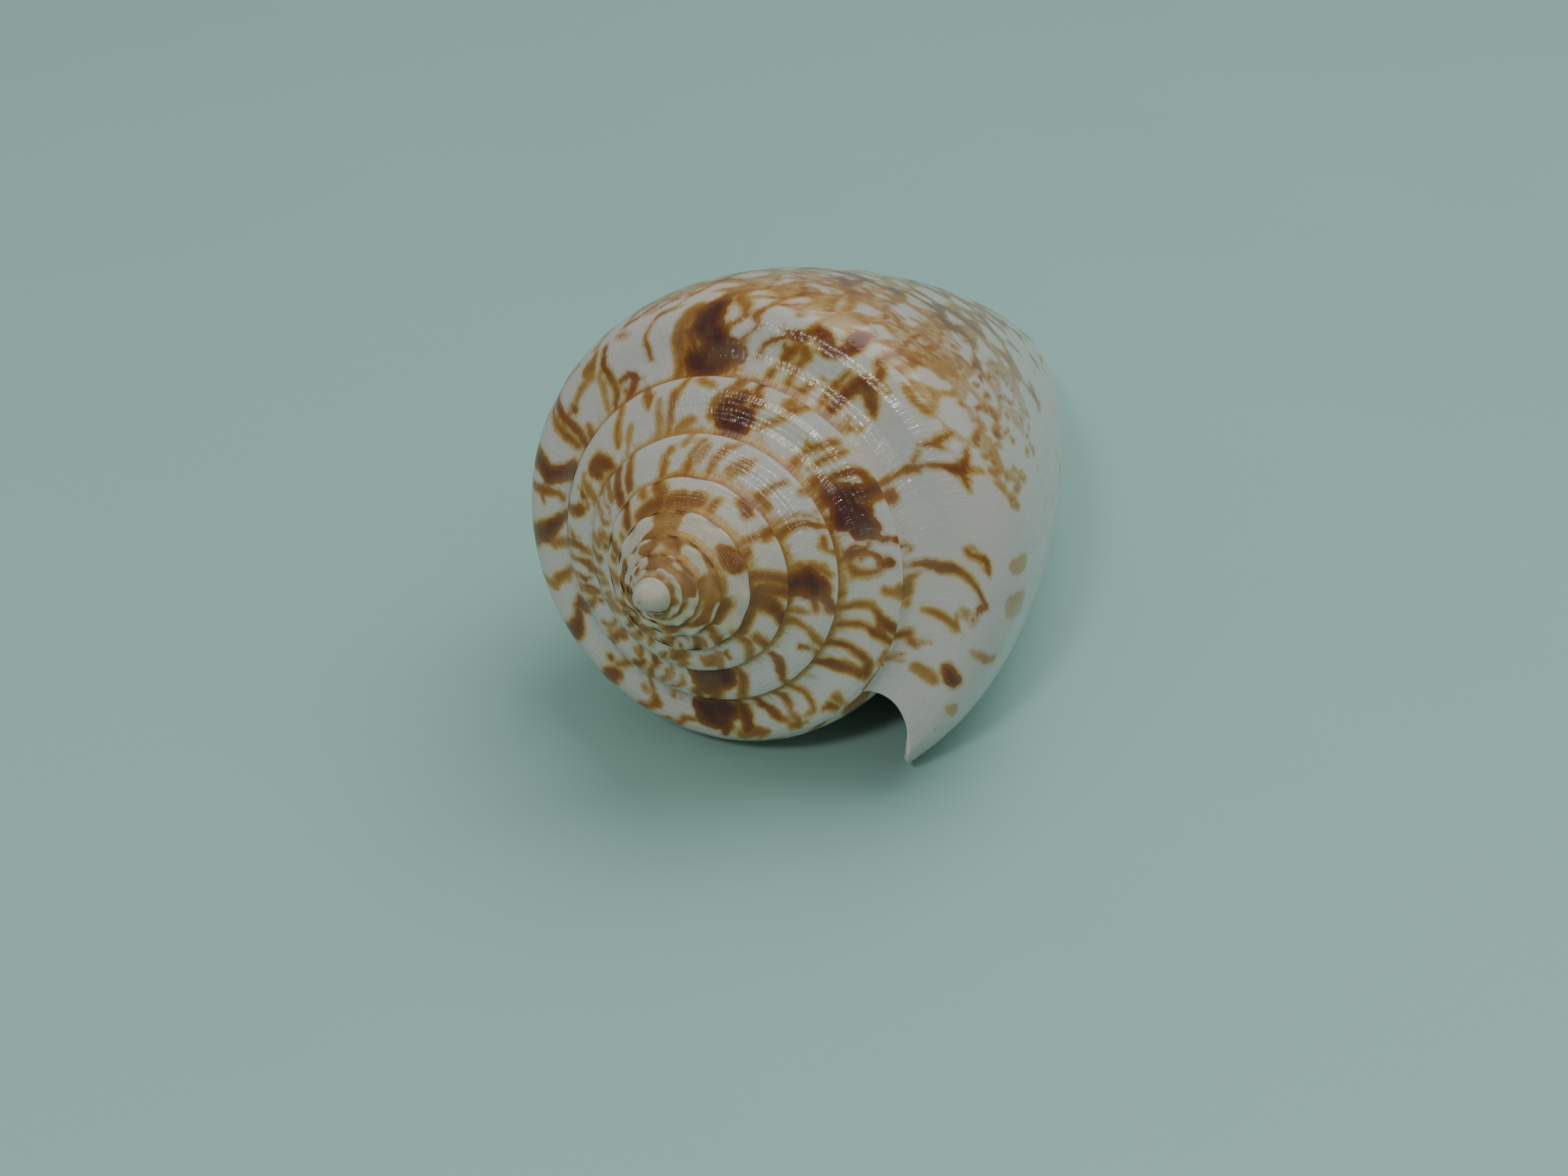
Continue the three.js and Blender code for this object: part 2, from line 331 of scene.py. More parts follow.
SECOND_WHORL_MARKS = [
    (.5, [(2.5, 20, .4), (3.5, 40, .6), (6, 65, .7), (8.5, 88, .4)]),
    (.45, [(23, 5, .4), (25, 35, .6), (27.5, 65, .6), (28.5, 85, .4)]),
    (.9, [(33, 15, 1.0), (38, 25, 1.8), (43, 35, 1.7), (44, 55, 1.0)]),
    (.5, [(38, 55, .8), (41, 85, .7)]),
    (.45, [(46, 55, .7), (49.5, 80, .8), (48, 96, .5)]),
    (.25, [(62, 30, .3), (64.5, 80, .35)]),
    (.4, [(70.5, 45, .35), (71.5, 70, .45), (70, 96, .4)]),
    (.45, [(76.5, 60, .5), (77.5, 80, .7), (77, 96, .5)]),
    (.25, [(80.5, 45, .5)]),
    (.45, [(91, 25, .4), (92.3, 55, .6), (91.5, 75, .6), (90, 96, .5)]),
    (.3, [(96.5, 60, .4)]),
    (.4, [(109.5, 55, .4), (108, 78, .5), (106, 98, .5)]),
    (.35, [(112, 30, .5), (114, 58, .4), (115, 80, .5), (113, 98, .4)]),
    (.4, [(121, 12, .5), (124, 30, .8), (126, 45, .5), (127, 65, .4), (126, 95, .3)]),
    (.4, [(131.5, 25, .3), (133, 55, .5), (133, 75, .5), (130.5, 97, .4)]),
    (.4, [(148, 50, .6), (146, 70, .6), (144, 95, .4)]),
    (.3, [(155.5, 20, .3), (157.5, 50, .5), (159, 68, .4)]),
    (.55, [(166, 30, .5), (166.8, 55, 1.1), (169.5, 55, 1.1), (171.5, 35, .9), (173, 20, .5)]),
    (.4, [(160, 10, .4), (165, 12, .4), (171, 8, .4)]),
    (.35, [(181.7, 40, .3), (183.5, 58, .4), (185.5, 73, .55), (187.3, 88, .4)]),
    (.15, [(184.5, 18, .2), (189.5, 45, .15)]),
    (.4, [(200.2, 68, .25), (200.2, 80, .5), (198.4, 92, .4)]),
    (.2, [(201.5, 10, .35), (203.5, 35, .35), (204.5, 65, .3)]),
    (.35, [(206.5, 10, .3), (208.7, 33, .4), (210, 55, .4), (211, 76, .6)]),
    (.35, [(211, 8, .4), (214, 18, .5), (218, 23, .3)]),
    (.35, [(219, 93, .25), (224, 84, .2)]),
    (.3, [(226, 28, .5), (229, 60, .8), (232.5, 85, .7)]),
    (.75, [(229.5, 32, .6), (231.5, 45, .9), (234.5, 55, .9), (236, 70, .7)]),
    (1, [(233, 22, .7), (236.5, 26, 1.1), (239, 36, .8)]),
    (.55, [(240, 48, .5), (241.6, 62, .6), (240.8, 78, .5), (239, 90, .4)]),
    (.3, [(246.5, 28, .3), (250.5, 48, .35), (252.8, 65, .3)]),
    (.4, [(250, 92, .4), (252.5, 80, .5), (254.2, 88, .4)]),
    (.4, [(264.6, 12, .5), (266.2, 45, .45), (268.3, 65, .55), (269.3, 82, .4)]),
    (.4, [(271, 30, .35), (273, 60, .4), (273.2, 80, .3)]),
    (.45, [(276, 15, .7), (279.3, 38, .5), (279.6, 60, .6), (281, 85, .7), (285, 88, .5)]),
    (.8, [(283, 22, .9), (285.5, 42, .8), (288, 68, .9), (287.6, 85, .6)]),
    (1, [(289, 42, 1.2), (292.5, 28, 1.1), (294, 45, 1.3), (298, 48, 1.1), (299.5, 60, .7)]),
    (.45, [(292, 8, .5), (294, 20, .4)]),
    (.55, [(306.5, 20, .9), (307, 40, .6)]),
    (.45, [(307.5, 14, .4), (311, 15, .4), (314.6, 25, .45), (315.3, 50, .35), (313.5, 65, .4),
        (309.8, 66, .35), (308.3, 52, .3), (308, 35, .3)]),
    (.6, [(312.3, 70, .5), (310.6, 83, .7)]),
    (.45, [(303.5, 70, .35), (303.3, 85, .45)]),
    (.4, [(320.2, 74, .35), (320, 88, .4)]),
    (.5, [(318, 100, .6), (319.5, 96, .4)]),
    (.5, [(321.5, 0, .6), (324, 1, .3)]),
    (.45, [(327.8, 5, .3), (326.8, 28, .35), (326.8, 52, .38), (328.5, 65, .4), (330.6, 74, .5),
        (331, 92, .75)]),
    (.5, [(334.9, 10, .35), (334.4, 34, .45), (334.2, 55, .35), (335.4, 72, .55), (335, 92, .5)]),
    (.4, [(330.5, 72, .35), (334.5, 70, .35)]),
    (.5, [(343.6, 5, .4), (343.4, 30, .45), (344.2, 55, .5), (345.4, 80, .7), (349, 84, .6)]),
    (.65, [(353.2, 12, .5), (352.3, 35, .7), (351, 55, .6), (349.6, 78, .6)]),
    (.35, [(339, 98, .3), (342.5, 95, .3)]),
]

THIRD_WHORL_MARKS = [
    (.35, [(2, 15, .5), (3, 50, .5), (6.5, 80, .6), (9, 96, .6)]),
    (.3, [(25, 35, .5), (28, 70, .6), (28.5, 96, .5)]),
    (.35, [(31, 50, .9), (34, 62, .9)]),
    (.35, [(50, 35, .6), (54, 45, 1.0), (57, 62, .7)]),
    (.3, [(51.5, 70, .5), (52.5, 90, .5)]),
    (.2, [(83, 55, .5), (84, 90, .5)]),
    (.3, [(103, 60, .8), (107, 70, .9), (104, 90, .7)]),
    (.25, [(119, 55, .5), (118, 90, .5)]),
    (.35, [(146.3, 42, .5), (144.5, 58, .6), (141, 62, .6), (140.5, 95, .5)]),
    (.3, [(157, 70, .4), (155.8, 90, .5)]),
    (.3, [(167, 55, .5), (168, 85, .5)]),
    (.4, [(171, 25, .7), (174, 60, .8), (177, 88, .8)]),
    (.35, [(180.5, 30, .6), (182.5, 52, .55), (185, 70, .55), (186, 92, .5)]),
    (.35, [(203.5, 10, .35), (206.3, 32, .35), (208, 52, .35), (210.7, 68, .4)]),
    (.3, [(218.6, 80, .35), (219, 96, .3)]),
    (.35, [(219.6, 12, .35), (222, 36, .4), (224, 56, .45), (225, 75, .45), (226.6, 84, .4)]),
    (.25, [(226.6, 42, .5), (227.6, 58, .6), (228.6, 70, .5)]),
    (.3, [(233.5, 15, .35), (235.3, 42, .35), (237.4, 62, .35), (238.8, 80, .3)]),
    (.3, [(246, 32, .7), (249.5, 45, .7), (251, 58, .6), (249, 65, .3), (252.5, 72, .3)]),
    (.45, [(265, 10, .6), (266.3, 30, .5), (267.5, 55, .4), (269, 78, .4)]),
    (.3, [(271, 12, .8)]),
    (.3, [(275, 95, .4), (277.3, 88, .3)]),
    (.25, [(282.5, 15, .3), (284.5, 50, .3), (286.5, 80, .3)]),
    (.45, [(288.2, 15, .6), (288, 35, .55), (289.6, 65, .45), (292, 85, .4)]),
    (.4, [(296.5, 88, .35), (300, 83, .5), (301, 75, .3), (303, 92, .3)]),
    (.35, [(308.8, 15, .5), (310, 45, .45), (311.5, 65, .45), (313.5, 82, .4)]),
    (.4, [(311, 22, .6), (314, 26, .5)]),
    (.85, [(316.5, 15, .9), (317, 35, 1.2), (320, 50, 1.0), (321.8, 52, .7)]),
    (.55, [(315.6, 55, .8), (318, 70, .9), (324.5, 74, .8), (327, 88, .8), (327.5, 98, .6)]),
    (.55, [(322, 48, .8), (326, 50, .7), (330.3, 58, .45)]),
    (.3, [(332.5, 12, .3), (333.4, 38, .3)]),
    (.4, [(338.5, 12, .5), (340, 32, .4), (342, 60, .4), (343.5, 78, .5), (344, 95, .5)]),
    (.4, [(351, 58, .4), (349.3, 75, .45), (348.3, 92, .4)]),
]

FOURTH_WHORL_MARKS = [
    (.4, [(8, 20, .5), (12, 60, .6), (13, 95, .5)]),
    (.44, [(28, 40, .6), (33, 90, .6)]),
    (.44, [(50, 15, .4), (56, 60, .6), (58, 95, .6)]),
    (.4, [(76, 50, .8), (82, 90, .7)]),
    (.44, [(98, 20, .5), (103, 60, .7), (104, 95, .6)]),
    (.4, [(124, 55, .7), (128, 95, .6)]),
    (.44, [(143, 10, .4), (148, 55, .6), (150, 95, .6)]),
    (.44, [(170, 30, .6), (174, 65, .7), (176, 95, .5)]),
    (.4, [(191, 95, .4), (194, 68, .4)]),
    (.4, [(186, 20, 1.0), (198, 25, 1.2)]),
    (.44, [(203, 0, .8), (206, 40, .9), (209, 60, .6), (202, 85, .7)]),
    (.4, [(214, 20, 1.1), (224, 30, 1.1)]),
    (.4, [(226, 15, 1.2), (236, 35, 1.1)]),
    (.4, [(247, 20, .5), (250, 55, .4)]),
    (.44, [(268, 75, .7), (262, 95, .7)]),
    (.4, [(282, 0, .4), (284, 50, .4)]),
    (.44, [(286, 70, .6), (284, 95, .6)]),
    (.44, [(290, 5, .6)]),
    (.44, [(309, 10, .7), (312, 40, .7), (314, 95, .7)]),
    (.5, [(320, 20, .9), (321, 50, .9), (320, 95, .7)]),
    (.55, [(327, 15, 1.2), (330, 45, 1.2), (333, 75, 1.0), (336, 95, .8)]),
    (.44, [(335, 5, .6), (350, 5, .6), (358, 15, .6)]),
    (.44, [(356, 60, .6), (356, 90, .6)]),
]


# Strokes run on to the suture and the shoulder where they nearly reach them; some throw a short twig

TWIG_SEED = 3
TWIG_SHARE = 0.6
TWIG_REACH = (1.2, 3.4)
TWIG_RISE = (-8, 18)
TWIG_DARKEST = 0.45
NEAR_SUTURE = 15
NEAR_SHOULDER = 85
TAPER = 0.3
TAPER_WIDTH = 0.05


def pointed(end, before):
    """A thin end point a little past the end of a stroke."""
    return (*(e + TAPER * (e - b) for e, b in zip(end[:2], before[:2])), TAPER_WIDTH)


def grown_marks(marks, free_shoulder):
    rng = np.random.default_rng(TWIG_SEED)
    whole = []
    for tone, line in marks:
        points = list(line)
        if line[0][1] <= NEAR_SUTURE:
            points.insert(0, (line[0][0], 0, 0.8 * line[0][2]))
        elif len(line) > 1:
            points.insert(0, pointed(line[0], line[1]))
        if not free_shoulder and line[-1][1] >= NEAR_SHOULDER:
            points.append((line[-1][0], 100, line[-1][2]))
        elif len(line) > 1:
            points.append(pointed(line[-1], line[-2]))
        whole.append((tone, points))
        for side in (-1, 1):
            degrees, percent, width = points[rng.integers(len(points))]
            reach, rise = side * rng.uniform(*TWIG_REACH), rng.uniform(*TWIG_RISE)
            if rng.uniform() < TWIG_SHARE and percent < 95:
                middle = (degrees + 0.5 * reach, percent + 0.2 * rise, 0.24)
                tip = (degrees + reach, percent + rise, 0.14)
                whole.append((min(tone, TWIG_DARKEST), [(degrees, percent, 0.5 * width), middle, tip]))
    return whole


# Small strokes on the crowded sector of each older whorl, in degrees along it

CROWDED = (18, 168)
FLECK_SEED = 31
FLECK_PERCENT = (8, 60)
FLECK_LENGTH = (18, 45)
FLECK_LEAN = (-1, 3)
FLECK_WIDTH = (0.22, 0.45)
FLECK_TONE = (0.3, 0.55)


def flecks(seed, count):
    rng = np.random.default_rng(seed)
    marks = []
    for place_share in (np.arange(count) + 0.5) / count:
        degrees = lerp(*CROWDED, place_share) + rng.uniform(-3, 3)
        percent, length = rng.uniform(*FLECK_PERCENT), rng.uniform(*FLECK_LENGTH)
        lean = rng.uniform(*FLECK_LEAN)
        width, tone = rng.uniform(*FLECK_WIDTH), rng.uniform(*FLECK_TONE)
        marks.append((tone, [
            (degrees, percent, 0.6 * width),
            (degrees + rng.uniform(-1, 1), percent + 0.5 * length, width),
            (degrees + lean, percent + length, 0.7 * width),
        ]))
    return marks


# Marks spread a little past their given width, dark ones more; margin searched round each, in degrees

SWELL = 0.04
DARK_SWELL = 0.36
MARK_MARGIN = 9


def paint(ink, shade, sheet, marks):
    """Raises the ink field to the depth inside each mark and keeps the deepest mark's shade."""
    degrees, across, turn = sheet["degrees"], sheet["across"], sheet["turn"]
    width = ramp_width(turn)
    length = side_length(turn)
    girth = math.radians(1) * sheet["radius"]

    def run(percent, rows):
        share = percent / 100
        return width[rows] * np.minimum(share, 1) + length[rows] * np.maximum(share - 1, 0) / SIDE_SPAN

    vertex_run = width * np.minimum(across, 1) + length * np.maximum(across - 1, 0) / SIDE_SPAN
    row_degrees = degrees[:, -1]
    for tone, points in marks:
        ends = points[1:] or points
        swell = SWELL + DARK_SWELL * smoothstep(0.6, 0.9, tone)
        for (d0, p0, w0), (d1, p1, w1) in zip(points, ends):
            ends_at = [min(d0, d1) - MARK_MARGIN, max(d0, d1) + MARK_MARGIN]
            low, high = np.searchsorted(row_degrees, ends_at)
            rows = slice(low, high)
            x = (degrees[rows] - d0) * girth[rows]
            y = vertex_run[rows] - run(p0, rows)
            dx = (d1 - d0) * girth[rows]
            dy = run(p1, rows) - run(p0, rows)
            share = np.clip((x * dx + y * dy) / np.maximum(dx * dx + dy * dy, 1e-9), 0, 1)
            value = lerp(w0, w1, share) / 2 + swell - np.hypot(x - share * dx, y - share * dy)
            better = value > ink[rows]
            ink[rows] = np.where(better, value, ink[rows])
            shade[rows] = np.where(better, tone, shade[rows])


# Golden line along each suture, fading out near the lip

SUTURE_SEED = 8
SUTURE_LINE = (0.16, 0.46)


def suture_ink(turn, v):
    share = np.clip(turn / WHORLS, 0, 1)
    uneven = wander(150, 1, share, np.zeros_like(share), SUTURE_SEED)
    half = 0.5 * lerp(*SUTURE_LINE, 0.5 + 0.5 * uneven) - 0.35 * smoothstep(8.66, 8.76, turn)
    return half - v * ramp_width(turn)


# Short dashes on the side where the net breaks up towards the lip

DASH_SEED = 5
DASH_COUNT = 75
DASH_DEGREES = (255, 297)
DASH_PERCENT = (135, 320)
DASH_LENGTH = (8, 26)
DASH_WIDTH = (0.22, 0.42)
DASH_LEAN = 0.5
DASH_TONE = (0.2, 0.6)


def dashes():
    rng = np.random.default_rng(DASH_SEED)
    marks = []
    for _ in range(DASH_COUNT):
        degrees, percent = rng.uniform(*DASH_DEGREES), rng.uniform(*DASH_PERCENT)
        length, width = rng.uniform(*DASH_LENGTH), rng.uniform(*DASH_WIDTH)
        lean = rng.normal(0, DASH_LEAN)
        tone = rng.uniform(*DASH_TONE)
        marks.append((tone, [
            (degrees, percent, 0.7 * width),
            (degrees + 0.4 * lean, percent + 0.5 * length, width),
            (degrees + lean, percent + length, 0.5 * width),
        ]))
    return marks


# Fine tent-shaped lines on the upper side, pointing towards the lip

TENT_SEED = 9
TENT_COUNT = 110
TENT_DEGREES = (178, 264)
TENT_PERCENT = (106, 330)
TENT_REACH = (2.5, 7)
TENT_RISE = (5, 16)
TENT_FALL = (5, 20)
TENT_WIDTH = (0.14, 0.26)
TENT_TONE = (0.45, 0.62)


def tents():
    rng = np.random.default_rng(TENT_SEED)
    marks = []
    for _ in range(TENT_COUNT):
        degrees, percent = rng.uniform(*TENT_DEGREES), rng.uniform(*TENT_PERCENT)
        reach, rise = rng.uniform(*TENT_REACH), rng.uniform(*TENT_RISE)
        fall = rng.uniform(*TENT_FALL)
        width, tone = rng.uniform(*TENT_WIDTH), rng.uniform(*TENT_TONE)
        marks.append((tone, [
            (degrees - reach, percent - rise, 0.6 * width),
            (degrees, percent, width),
            (degrees - reach * rng.uniform(0.6, 1.1), percent + fall, 0.6 * width),
        ]))
    return marks


# White patches packed over the side of the last whorl, with brown left between them

BODY_SEED = 11
BODY_TRIES = 15000
BODY_CELLS = (960, 360)
PATCH_LARGEST = 1.35
PATCH_SMALLEST = 0.3
PATCH_REACH = 1.2
PATCH_SIDES = [3, 3, 3, 4, 5]
PATCH_STRETCH = (1, 2.3)
PATCH_JITTER = 0.3
PATCH_GAP = 0.36
CLOUD_SEED = 3
FINE_SEED = 4
DARK_BANDS = [(0.23, 0.07), (0.55, 0.06), (0.8, 0.05)]


def dark_bands(t):
    return sum(np.exp(-((t - centre) / spread) ** 2) for centre, spread in DARK_BANDS)


def packed_patches():
    """Distance outside the nearest white patch, in millimetres, over turn and side."""
    rng = np.random.default_rng(BODY_SEED)
    rows, cols = BODY_CELLS
    outside = np.full((rows, cols), PATCH_REACH)
    for attempt in range(BODY_TRIES):
        along, t = rng.uniform(0, 1), rng.uniform(0, 1)
        bend, lean, sides = rng.uniform(-1, 1), rng.normal(0, 0.25), rng.choice(PATCH_SIDES)
        stretch = rng.uniform(*PATCH_STRETCH)
        jitter = rng.uniform(-PATCH_JITTER, PATCH_JITTER, max(PATCH_SIDES))
        turn = WHORLS - 1 + along
        girth = 2 * math.pi * radius(turn) * side_share(t)
        length = side_length(turn)
        crowd = dark_bands(t) * (0.6 + 0.4 * bend)
        size = lerp(PATCH_LARGEST, PATCH_SMALLEST, (attempt / BODY_TRIES) ** 0.45)
        size *= 1 - 0.35 * crowd
        gap = (PATCH_GAP + 0.2 * abs(bend) + 0.35 * crowd) * lerp(0.6, 1, smoothstep(0.15, 0.35, t))
        reach_x = (size * stretch + PATCH_REACH) / girth
        reach_t = (size * stretch + PATCH_REACH) / length
        i0, i1 = int(max(along - reach_x, 0) * rows), int(min(along + reach_x, 1) * rows)
        j0, j1 = int(max(t - reach_t, 0) * cols), int(min(t + reach_t, 1) * cols)
        if i1 - i0 < 2 or j1 - j0 < 2:
            continue
        x = ((np.arange(i0, i1) + 0.5) / rows - along)[:, None] * girth
        y = ((np.arange(j0, j1) + 0.5) / cols - t)[None, :] * length / stretch
        edges = math.pi / 2 + lean + 2 * math.pi * np.arange(sides) / sides + jitter[:sides]
        inside_radius = 0.62 * size if sides == 3 else 0.8 * size
        distance = np.max([x * math.cos(e) + y * math.sin(e) - inside_radius for e in edges], axis=0)
        distance = np.maximum(distance, np.hypot(x, y) - 1.05 * size)
        window = outside[i0:i1, j0:j1]
        covered = window[distance < 0]
        if covered.size and covered.min() > gap:
            outside[i0:i1, j0:j1] = np.minimum(window, distance)
    return outside


def sample(field, x, y):
    """Values of a field of cells at x and y, both from 0 to 1."""
    rows, cols = field.shape
    fx = np.clip(x * rows - 0.5, 0, rows - 1.001)
    fy = np.clip(y * cols - 0.5, 0, cols - 1.001)
    i, j = fx.astype(int), fy.astype(int)
    a, b = fx - i, fy - j
    return lerp(lerp(field[i, j], field[i, j + 1], b), lerp(field[i + 1, j], field[i + 1, j + 1], b), a)


def body_ink(turn, t):
    """Ink depth and shade of the net on the side of the last whorl."""
    along = turn - (WHORLS - 1)
    gap = sample(packed_patches(), along, t)
    cloud = wander(26, 12, along, t, CLOUD_SEED)
    fine = wander(120, 50, along, t, FINE_SEED)
    back = smoothstep(0.4, 0.5, along)
    ink = gap - 0.04 + 0.03 * back
    ink = ink - 0.8 * smoothstep(0.72, 0.84, along + 0.03 * cloud)
    ink = ink - 0.1 * back * (1 - smoothstep(0.008, 0.025, t))
    shade = 0.3 + 0.3 * dark_bands(t) * (0.7 + 0.8 * cloud) + 0.16 * fine + 0.06 * back
    golden = smoothstep(0.12, 0.24, gap) * (1 - smoothstep(0.22, 0.4, t))
    golden = golden * (1 - smoothstep(-0.1, 0.5, cloud))
    shade = lerp(shade + 0.08 * back, 0.16, 0.8 * back * golden)
    ink = lerp(ink, np.minimum(ink, 0.05), back * golden)
    return ink, np.clip(shade, 0.05, 0.95)


# Mesh assembly

class Skin:
    def __init__(self):
        self.points = []
        self.faces = []
        self.layers = {"turn": [], "across": [], "ink": [], "shade": [], "inside": []}
        self.unset = {"ink": BARE_INK}
        self.count = 0

    def grid(self, points, flip=False, **layers):
        rows, cols = points.shape[:2]
        index = self.count + np.arange(rows * cols).reshape(rows, cols)
        corners = [index[:-1, :-1], index[1:, :-1], index[1:, 1:], index[:-1, 1:]]
        if flip:
            corners.reverse()
        self.faces.append(np.stack(corners, axis=-1).reshape(-1, 4))
        self.points.append(points.reshape(-1, 3))
        for name, kept in self.layers.items():
            values = layers.get(name, self.unset.get(name, 0.0))
            kept.append(np.broadcast_to(values, (rows, cols)).ravel())
        self.count += rows * cols

    def mesh(self, name):
        points = to_frame(np.concatenate(self.points))
        faces = np.concatenate(self.faces)
        mesh = bpy.data.meshes.new(name)
        mesh.from_pydata(points.tolist(), [], faces.tolist())
        for layer, kept in self.layers.items():
            values = np.concatenate(kept).astype(np.float32)
            mesh.attributes.new(layer, "FLOAT", "POINT").data.foreach_set("value", values)
        mesh.polygons.foreach_set("use_smooth", np.ones(len(mesh.polygons), bool))
        mesh.validate()
        return mesh


def to_frame(points):
    """Lays the shell down and turns millimetres into the frame's metres."""
    c, s = math.cos(REST_ROLL), math.sin(REST_ROLL)
    roll = np.array([[c, 0, s], [0, 1, 0], [-s, 0, c]])
    c, s = math.cos(REST_PITCH), math.sin(REST_PITCH)
    pitch = np.array([[1, 0, 0], [0, c, -s], [0, s, c]])
    lying = points @ (pitch @ roll).T + TIP_PLACE
    lying[:, 2] = np.maximum(lying[:, 2], 0)
    return lying / 1000


def relief(points, height):
    """Moves the points of a grid outwards by a height in millimetres."""
    along = np.gradient(points, axis=0)
    across = np.gradient(points, axis=1)
    normal = np.cross(along, across)
    normal /= np.maximum(np.linalg.norm(normal, axis=-1, keepdims=True), 1e-9)
    return points + normal * height[..., None]


def growth_ripple(turn):
    """Uneven growth lines along the coil, from -1 to 1."""
    share = np.clip(turn / WHORLS, 0, 1)
    flat = np.zeros_like(share)
    broad = wander(220, 1, share, flat, GROWTH_SEED)
    narrow = wander(900, 1, share, flat, GROWTH_SEED + 1)
    return 0.6 * broad + 0.4 * narrow


def ramp_relief(turn, v):
    scale = radius(turn) / SHOULDER_RADIUS
    threads = np.cos(2 * math.pi * THREADS * v) * smoothstep(0.05, 0.15, v)
    threads = threads * (1 - smoothstep(0.85, 0.97, v))
    beads = np.sin(2 * math.pi * BEADS * turn) * np.exp(-((v - 0.88) / 0.14) ** 2)
    size = np.minimum(radius(turn) / BEAD_FULL_RADIUS, 1)
    beads *= BEAD_HEIGHT * size * (1 - smoothstep(4.6, 6.6, turn))
    return scale * (THREAD_HEIGHT * threads + GROWTH_HEIGHT * growth_ripple(turn)) - beads


def side_columns():
    t = [0.0]
    while t[-1] < 1:
        share = float(smoothstep(0, SIDE_STEP_REACH, t[-1]))
        t.append(t[-1] + lerp(SIDE_STEP_NEAR, SIDE_STEP_FAR, share))
    return np.array(t) / t[-1]


def rounded_shoulder(points, corner):
    """Rounds the corner at the shoulder by repeated averaging."""
    cols = np.arange(points.shape[1])
    rows = np.linspace(0, 1, len(points))[:, None]
    blunt = smoothstep(0, 0.02, rows) * (1 - smoothstep(0.95, 0.998, rows))
    weight = ((1 - smoothstep(0, SHOULDER_SPAN, np.abs(cols - corner)))[None, :] * blunt)[..., None]
    for _ in range(SHOULDER_PASSES):
        mean = points.copy()
        mean[:, 1:-1] = (points[:, :-2] + 2 * points[:, 1:-1] + points[:, 2:]) / 4
        points = lerp(points, mean, weight)
    return points


def add_last_whorl(skin):
    v = np.linspace(0, 1, RAMP_COLUMNS)
    t = side_columns()
    u = np.linspace(0, 1, LAST_ROWS)[:, None]
    end = LIP_RETREAT * (1 - v ** LIP_RETREAT_POWER)
    straight = lerp(LAST_START, WHORLS, u)
    ramp_turn = straight - end[None, :] * u ** 12
    side_turn = np.broadcast_to(straight, (LAST_ROWS, len(t)))
    ramp = relief(ramp_points(ramp_turn, v[None, :]), ramp_relief(ramp_turn, v[None, :]))
    side = side_points(side_turn, t[None, :])
    height = GROWTH_HEIGHT * growth_ripple(side_turn) * np.exp(-t[None, :] / 0.5)
    side = relief(side, height)
    side[:, 0] = ramp[:, -1]
    points = np.concatenate([ramp, side[:, 1:]], axis=1)
    points = rounded_shoulder(points, RAMP_COLUMNS - 1)
    turn = np.concatenate([ramp_turn, side_turn[:, 1:]], axis=1)
    across = np.concatenate([v, 1 + SIDE_SPAN * t[1:]])[None, :].repeat(LAST_ROWS, axis=0)
    sheet = {
        "degrees": (turn - (WHORLS - 1)) * 360,
        "across": across,
        "turn": turn,
        "radius": np.hypot(points[..., 0], points[..., 2]),
    }
    ink = np.full(turn.shape, BARE_INK)
    shade = np.full(turn.shape, BARE_SHADE)
    net, net_shade = body_ink(side_turn[:, 1:], np.broadcast_to(t[None, 1:], side_turn[:, 1:].shape))
    ink[:, RAMP_COLUMNS:] = np.maximum(ink[:, RAMP_COLUMNS:], net)
    shade[:, RAMP_COLUMNS:] = net_shade
    paint(ink, shade, sheet, grown_marks(LAST_WHORL_MARKS, True))
    older = grown_marks(SECOND_WHORL_MARKS, False)
    paint(ink, shade, sheet, [(tone, [(d - 360, p, w) for d, p, w in line]) for tone, line in older])
    paint(ink, shade, sheet, dashes() + tents())
    add_suture(ink, shade, turn, across)
    glaze = (1 - smoothstep(-0.04, 0.0, turn - (WHORLS - 1))) * smoothstep(1.05, 1.3, across)
    skin.grid(points, turn=turn, across=across, ink=ink - 0.6 * glaze, shade=shade, inside=0.5 * glaze)
    return points, v, t, end


def add_suture(ink, shade, turn, across):
    line = suture_ink(turn, across)
    shade[line > ink] = 0.4
    np.maximum(ink, line, out=ink)


# Oldest whorls: centre and spread of the amber sectors, as shares of a turn

AMBER_SECTORS = [(0.59, 0.07), (0.84, 0.09)]
CHECKER_SEED = 40


def amber_sectors(share):
    """Bias of the patches towards amber, which is strongest in two sectors."""
    near = sum(np.exp(-((share - centre) / spread) ** 2) for centre, spread in AMBER_SECTORS)
    return 0.8 * near - 0.12


